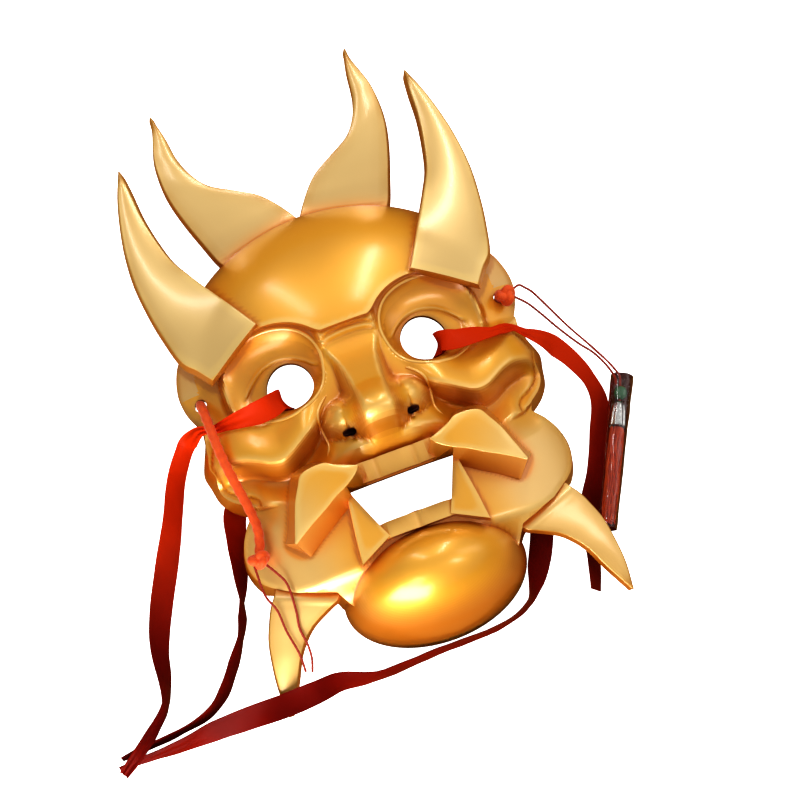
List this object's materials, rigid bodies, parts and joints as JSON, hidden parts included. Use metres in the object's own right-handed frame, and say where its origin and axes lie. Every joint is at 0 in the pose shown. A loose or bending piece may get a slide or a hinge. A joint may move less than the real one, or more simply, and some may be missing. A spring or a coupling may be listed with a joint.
{
  "type": "ceremonial face mask",
  "caption": "Gold horned demon face mask with open eyes and mouth, tusks, long red tie ribbons, ear cords and a tassel pendant.",
  "frame": {"origin": "centre of the mask's bounding box in plan, on the plane its forehead and chin rims rest on; cords left out", "axes": "+Z out of the face, +Y up the face to the horns, +X to the viewer's right"},
  "size_m": [0.3154, 0.324, 0.0868],
  "materials": {
    "gold": "satin gold lacquer over moulded resin",
    "red_satin": "glossy satin ribbon",
    "orange_cord": "twisted cord",
    "red_thread": "thin thread",
    "green_glass": "polished bead",
    "silver_metal": "polished cap",
    "red_yarn": "yarn",
    "clear_film": "clear thin film"
  },
  "bodies": {
    "root": {"mask": "gold", "ribbon_left": "red_satin", "ribbon_right": "red_satin", "ear_cord": "orange_cord", "knot_left": "orange_cord", "knot_right": "orange_cord", "string_left_a": "red_thread", "string_left_b": "red_thread", "string_right_a": "red_thread", "string_right_b": "red_thread", "bead": "green_glass", "bell_cap": "silver_metal", "tassel": "red_yarn", "film_sleeve": "clear_film"}
  },
  "joints": []
}
